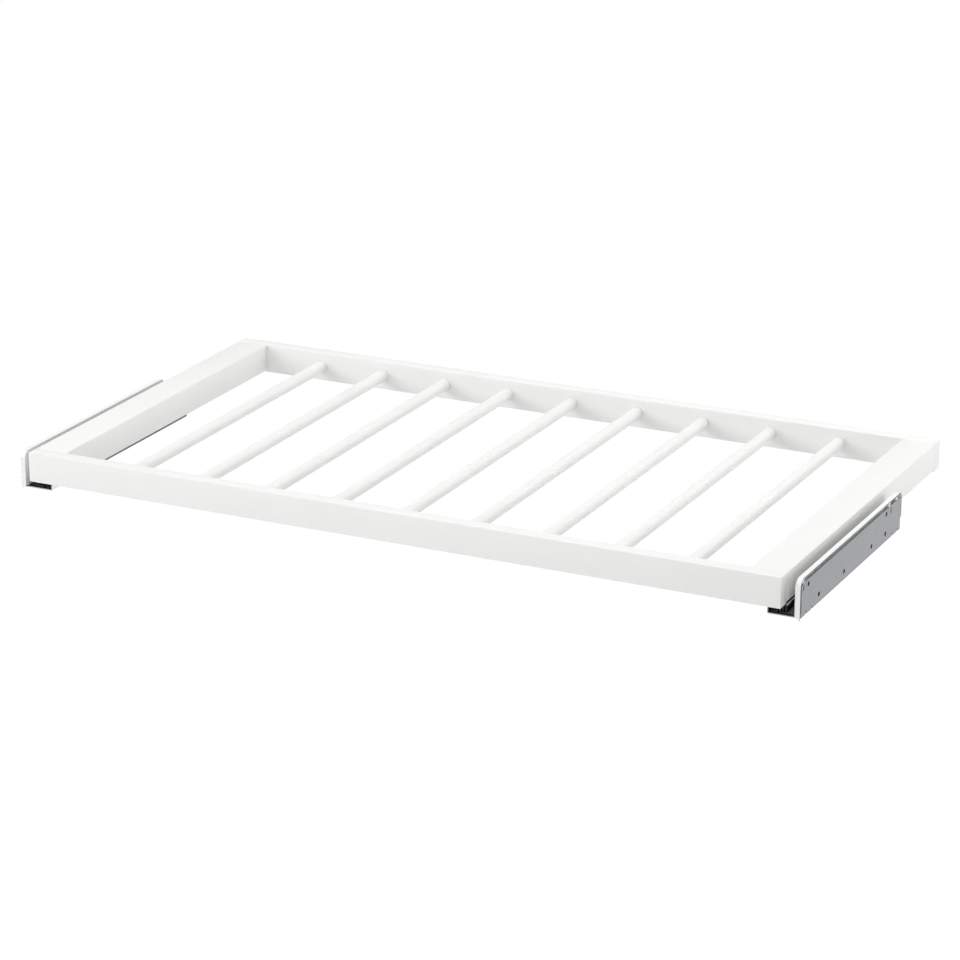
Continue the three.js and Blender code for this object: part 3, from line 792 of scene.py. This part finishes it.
def cabinet_member():
    low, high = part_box("right_cabinet_member")
    middle_low, middle_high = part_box("right_middle_member")
    middle = (middle_low.x + middle_high.x) / 2
    left, right = middle - CABINET_HALF_WIDTH, middle + CABINET_HALF_WIDTH
    sheet = MEMBER_SHEET
    outer = MEMBER_BEND + sheet
    foot = low.z + sheet
    points = [(low.x, low.z), (low.x, foot), (left, foot)]
    points += arc(left + outer, high.z - outer, outer, 180, 90, steps=BEND_STEPS)
    points += arc(right - outer, high.z - outer, outer, 90, 0, steps=BEND_STEPS)
    points += [(right, foot), (high.x, foot), (high.x, low.z), (right - sheet, low.z)]
    points += arc(right - outer, high.z - outer, MEMBER_BEND, 0, 90, steps=BEND_STEPS)
    points += arc(left + outer, high.z - outer, MEMBER_BEND, 90, 180, steps=BEND_STEPS)
    points += [(left + sheet, low.z)]
    member = prism("right_cabinet_member_profile", points, "y", low.y, high.y)
    return soften(member, SHEET_EDGE, segments=2, angle=BEND_ANGLE)


def cage_pieces(kind):
    """The folded strip with a hole for each ball, and the balls themselves."""
    low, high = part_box(f"right_{kind}_ball_cage")
    runner_x = (low.x + high.x) / 2
    row = (high.x - low.x) / 2 - BALL_RADIUS
    left, right = runner_x - row - CAGE_SHEET / 2, runner_x + row + CAGE_SHEET / 2
    outline = channel_outline(left, right, low.z, high.z, CAGE_SHEET)
    strip = prism(f"right_{kind}_cage_strip", outline, "y", low.y, high.y)
    step = (high.y - low.y - 2 * CAGE_END_MARGIN) / (BALLS_IN_ROW - 1)
    ys = [low.y + CAGE_END_MARGIN + i * step for i in range(BALLS_IN_ROW)]
    cutters = []
    for y in ys:
        hole = circle(y, BALL_ROW_Z, BALL_RADIUS + BORE_GAP, HOLE_SIDES)
        cutters.append(prism("hole", hole, "x", left - OVERRUN, right + OVERRUN))
    combine(strip, cutters, "DIFFERENCE")
    shade(strip)
    bm = bmesh.new()
    for y in ys:
        for x in (runner_x - row, runner_x + row):
            place = Matrix.Translation((x, y, BALL_ROW_Z))
            bmesh.ops.create_icosphere(
                bm, subdivisions=BALL_SUBDIVISIONS, radius=BALL_RADIUS, matrix=place)
    balls = shade(from_bmesh(f"right_{kind}_balls", bm))
    return strip, balls


def both_sides(piece, node, body, material):
    """The right piece and its mirror image on the left. {} in node and body stands for the side."""
    pieces = {"right": piece, "left": mirror_x(piece, piece.name.replace("right_", "left_"))}
    for side, made in pieces.items():
        add_piece(made, node.format(side), body.format(side), material)


# The runner members get painted shade: near-black steel
both_sides(middle_member(), "{}_middle_member", "{}_middle", runner_painted_shade)
both_sides(tray_member(), "{}_tray_member", "tray", runner_painted_shade)
both_sides(cabinet_member(), "{}_cabinet_member", "brackets", runner_painted_shade)
for kind in ("inner", "outer"):
    node, body = "{}_" + kind + "_ball_cage", "{}_" + kind + "_cage"
    for made in cage_pieces(kind):
        both_sides(made, node, body, fastener_zinc)

# Fasteners, bumpers and catches


def dome_profile(radius, bottom, height):
    """Radius and height from the middle of a domed head, at its bottom, out to its rim."""
    angles = [math.radians(degrees) for degrees in range(0, 91, HEAD_DEGREES)]
    dome = [(radius * math.sin(a), bottom + height * (1 - math.cos(a))) for a in angles]
    dome[0] = (0, bottom)
    return dome


def screw_piece(node, name):
    """A pan-head wood screw, drawn from its node's size, with a cross recess in its head."""
    low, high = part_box(node)
    x, y = (low.x + high.x) / 2, (low.y + high.y) / 2
    head = (high.x - low.x) / 2
    head_top = low.z + SCREW_HEAD_HEIGHT
    profile = dome_profile(head, low.z, SCREW_HEAD_HEIGHT * SCREW_CROWN_SHARE)
    profile += [(head, head_top), (SCREW_RADIUS, head_top)]
    profile += [(SCREW_RADIUS, high.z - SCREW_TIP_LENGTH), (0, high.z)]
    piece = turned(name, profile, x, y)
    arm, half = RECESS_ARM, RECESS_HALF_WIDTH
    depth = (low.z - OVERRUN, low.z + RECESS_DEPTH)
    cuts = [
        prism("cut", rectangle(x - arm, x + arm, y - half, y + half), "z", *depth),
        prism("cut", rectangle(x - half, x + half, y - arm, y + arm), "z", *depth),
    ]
    combine(piece, cuts, "DIFFERENCE")
    return shade(piece)


def rivet_piece(node, name):
    """A domed rivet, drawn from its node's size, with a flattened end."""
    low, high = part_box(node)
    x, y = (low.x + high.x) / 2, (low.y + high.y) / 2
    clench_z = high.z - CLENCH_HEIGHT
    wide, narrow = (CLENCH_RADIUS * share for share in CLENCH_EASE_SHARES)
    profile = dome_profile((high.x - low.x) / 2, low.z, RIVET_HEAD_HEIGHT)
    profile += [(RIVET_RADIUS, low.z + RIVET_HEAD_HEIGHT), (RIVET_RADIUS, clench_z)]
    profile += [(CLENCH_RADIUS, clench_z), (wide, high.z - CLENCH_EASE)]
    profile += [(narrow, high.z), (0, high.z)]
    return shade(turned(name, profile, x, y))


for i in (1, 2):
    screw = screw_piece(f"right_tray_screw_{i}", f"right_tray_screw_{i}_turned")
    both_sides(screw, "{}_tray_screw_" + str(i), "tray", fastener_zinc)
for i in (1, 2, 3, 4):
    rivet = rivet_piece(f"right_runner_rivet_{i}", f"right_runner_rivet_{i}_turned")
    both_sides(rivet, "{}_runner_rivet_" + str(i), "brackets", fastener_zinc)


def bumper_piece():
    low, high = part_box("right_rear_bumper")
    outline = rectangle(low.x, high.x, low.z, high.z)
    return soften(prism("right_rear_bumper_block", outline, "y", low.y, high.y), BUMPER_EDGE)


def catch_piece():
    """A thin strip with a rounded tongue under its front end."""
    low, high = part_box("right_front_catch")
    corner = TONGUE_CORNER
    rear = low.y + TONGUE_LENGTH
    outline = [(high.y, high.z), (low.y, high.z)]
    outline += arc(low.y + corner, low.z + corner, corner, 180, 270)
    outline += arc(rear - corner, low.z + corner, corner, 270, 360)
    outline += [(rear, high.z - STRIP_HEIGHT), (high.y, high.z - STRIP_HEIGHT)]
    return soften(prism("right_front_catch_strip", outline, "x", low.x, high.x), CATCH_EDGE)


both_sides(bumper_piece(), "{}_rear_bumper", "brackets", bumper_rubber)
both_sides(catch_piece(), "{}_front_catch", "tray", catch_green)

# Studio: a white room, a pale floor well below the rack and soft lights


def add_floor():
    bm = bmesh.new()
    bmesh.ops.create_grid(bm, x_segments=1, y_segments=1, size=FLOOR_HALF_WIDTH)
    floor = from_bmesh("floor", bm)
    floor.location.z = FLOOR_Z
    material = bpy.data.materials.new("floor_white")
    material.use_nodes = True
    tree = material.node_tree
    shader = tree.nodes["Principled BSDF"]
    shader.inputs["Base Color"].default_value = FLOOR_COLOUR
    shader.inputs["Roughness"].default_value = FLOOR_ROUGHNESS
    glow = tree.nodes.new("ShaderNodeEmission")
    glow.inputs["Color"].default_value = WHITE
    glow.inputs["Strength"].default_value = FLOOR_GLOW
    mix = tree.nodes.new("ShaderNodeMixShader")
    tree.links.new(direct_share(tree, FLOOR_GLOW_SHARE), mix.inputs[0])
    tree.links.new(shader.outputs[0], mix.inputs[1])
    tree.links.new(glow.outputs[0], mix.inputs[2])
    tree.links.new(mix.outputs[0], tree.nodes["Material Output"].inputs["Surface"])
    floor.data.materials.append(material)


def direct_share(tree, share):
    """share for rays that show the background to the eye, and 0 for rays that light the object."""
    path = tree.nodes.new("ShaderNodeLightPath")
    first = tree.nodes.new("ShaderNodeMath")
    first.operation = "MAXIMUM"
    tree.links.new(path.outputs["Is Camera Ray"], first.inputs[0])
    tree.links.new(path.outputs["Is Glossy Ray"], first.inputs[1])
    second = tree.nodes.new("ShaderNodeMath")
    second.operation = "MAXIMUM"
    tree.links.new(first.outputs[0], second.inputs[0])
    tree.links.new(path.outputs["Is Transmission Ray"], second.inputs[1])
    scaled = tree.nodes.new("ShaderNodeMath")
    scaled.operation = "MULTIPLY"
    tree.links.new(second.outputs[0], scaled.inputs[0])
    scaled.inputs[1].default_value = share
    return scaled.outputs[0]


def add_world():
    world = bpy.data.worlds.new("white_room")
    bpy.context.scene.world = world
    world.use_nodes = True
    tree = world.node_tree
    light = tree.nodes["Background"]
    light.inputs["Color"].default_value = ROOM_LIGHT_COLOUR
    light.inputs["Strength"].default_value = ROOM_LIGHT
    paper = tree.nodes.new("ShaderNodeBackground")
    paper.inputs["Color"].default_value = WHITE
    paper.inputs["Strength"].default_value = 1.0
    mix = tree.nodes.new("ShaderNodeMixShader")
    tree.links.new(direct_share(tree, 1.0), mix.inputs[0])
    tree.links.new(light.outputs[0], mix.inputs[1])
    tree.links.new(paper.outputs[0], mix.inputs[2])
    tree.links.new(mix.outputs[0], tree.nodes["World Output"].inputs["Surface"])


def add_light(name, place, target, size, power):
    light = bpy.data.lights.new(name, "AREA")
    light.shape = "RECTANGLE"
    light.size, light.size_y = size
    light.energy = power
    lamp = bpy.data.objects.new(name, light)
    bpy.context.scene.collection.objects.link(lamp)
    lamp.location = place
    lamp.rotation_euler = (Vector(target) - Vector(place)).to_track_quat("-Z", "Y").to_euler()


def add_camera():
    camera = bpy.data.cameras.new("camera")
    camera.lens = CAMERA_LENS
    camera.sensor_width = CAMERA_SENSOR
    camera.clip_end = CAMERA_CLIP_END
    eye = bpy.data.objects.new("camera", camera)
    bpy.context.scene.collection.objects.link(eye)
    level = math.cos(CAMERA_ELEVATION)
    east, south = math.sin(CAMERA_AZIMUTH) * level, -math.cos(CAMERA_AZIMUTH) * level
    away = Vector((east, south, math.sin(CAMERA_ELEVATION)))
    eye.location = CAMERA_TARGET + CAMERA_DISTANCE * away
    eye.rotation_euler = (-away).to_track_quat("-Z", "Y").to_euler()
    bpy.context.scene.camera = eye


add_floor()
add_world()
for lamp in LAMPS:
    add_light(*lamp)
add_camera()
bpy.context.scene.view_settings.view_transform = "Standard"
